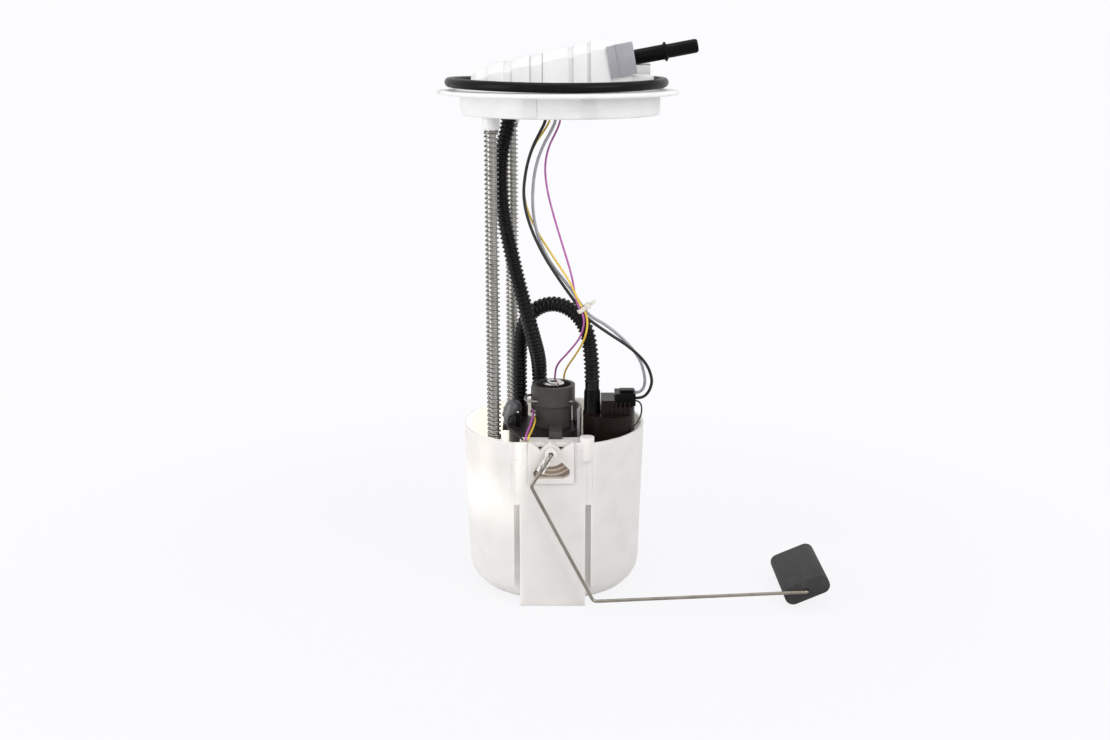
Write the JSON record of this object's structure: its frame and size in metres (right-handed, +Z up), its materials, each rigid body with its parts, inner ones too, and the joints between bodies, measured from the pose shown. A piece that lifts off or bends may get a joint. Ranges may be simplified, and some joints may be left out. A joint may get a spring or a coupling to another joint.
{
  "type": "fuel pump module",
  "caption": "Round flange with angled outlet nipple over sprung guide rods and a reservoir bucket that holds pump, filter and regulator, with a level sender and swinging float arm.",
  "frame": {"origin": "flange axis at the seat plane, the underside of the plate where the skirt begins", "axes": "+Z up out of the tank, +X towards the outlet nipple and float, -Y towards the level sender"},
  "size_m": [0.2314, 0.138, 0.3291],
  "materials": {
    "black_moulding": "satin moulded polyacetal",
    "seal": "glossy elastomer",
    "grey_moulding": "matt moulded plastic",
    "white_moulding": "slightly translucent moulded plastic",
    "brown_moulding": "satin moulded plastic",
    "steel": "drawn wire and turned rod",
    "contact": "tinned",
    "magnet": "sintered",
    "winding": "laminated core with windings",
    "hose": "corrugated nylon",
    "foam": "closed-cell foam",
    "soft_rubber": "matt rubber",
    "paper": "pleated filter medium",
    "mesh": "fine woven mesh",
    "card": "printed resistor card",
    "black_insulation": "wire insulation",
    "grey_insulation": "wire insulation",
    "yellow_insulation": "wire insulation",
    "purple_insulation": "wire insulation",
    "tie": "natural nylon"
  },
  "bodies": {
    "flange": {"flange": "white_moulding", "seal_ring": "seal", "fuel_outlet_nipple": "black_moulding", "vapour_valve_cap": "white_moulding", "terminal_pins": "contact", "inner_hose_stub": "black_moulding", "harness_plug": "white_moulding", "guide_rod_front": "steel", "guide_rod_back": "steel", "spring_front": "steel", "spring_back": "steel", "rod_rings": "steel", "outlet_hose": "hose", "black_wire": "black_insulation", "grey_wire": "grey_insulation", "yellow_wire": "yellow_insulation", "purple_wire": "purple_insulation", "zip_tie": "tie"},
    "bucket": {"bucket": "white_moulding", "sender_housing": "white_moulding", "resistor_card": "card", "sender_terminals": "contact", "pump_can": "steel", "pump_magnets": "magnet", "pump_outlet_cap": "grey_moulding", "pump_inlet_cap": "grey_moulding", "pump_isolator": "soft_rubber", "inlet_strainer": "mesh", "pump_cover": "brown_moulding", "pump_plug": "black_moulding", "hose_cuff": "soft_rubber", "filter_case": "brown_moulding", "filter_element": "paper", "filter_lid": "brown_moulding", "filter_shield": "grey_moulding", "relief_valve": "grey_moulding", "lead_post": "grey_moulding", "regulator_housing": "grey_moulding", "pressure_regulator": "steel", "regulator_seal": "soft_rubber", "regulator_clip": "steel", "sender_plug": "black_moulding", "loop_hose": "hose", "purple_lead": "purple_insulation", "yellow_lead": "yellow_insulation", "black_lead": "black_insulation", "ground_lead": "black_insulation", "jet_pump": "grey_moulding", "floor_valve": "soft_rubber"},
    "arm": {"sender_rotor": "white_moulding", "float_arm": "steel", "wiper": "contact", "float_clip": "steel"},
    "float": {"float": "foam"},
    "pump_rotor": {"pump_armature": "winding", "pump_impeller": "grey_moulding"}
  },
  "joints": [
    {"name": "bucket_slide", "type": "slide", "parent": "flange", "child": "bucket", "axis": [0, 0, 1], "range_m": [0, 0.03], "stiffness_N_per_m": 300, "springref_m": -0.1, "deforming": ["spring_front", "spring_back", "outlet_hose", "black_wire", "grey_wire", "yellow_wire", "purple_wire", "zip_tie"]},
    {"name": "arm_swing", "type": "hinge", "parent": "bucket", "child": "arm", "pos_m": [-0.0052, -0.052, -0.2019], "axis": [0, -1, 0], "range_deg": [0, 68]},
    {"name": "float_swivel", "type": "hinge", "parent": "arm", "child": "float", "pos_m": [0.1466, -0.027, -0.2863], "axis": [0, -1, 0], "continuous": true},
    {"name": "pump_spin", "type": "hinge", "parent": "bucket", "child": "pump_rotor", "pos_m": [0.0296, -0.0145, -0.25], "axis": [0, 0, 1], "continuous": true}
  ]
}
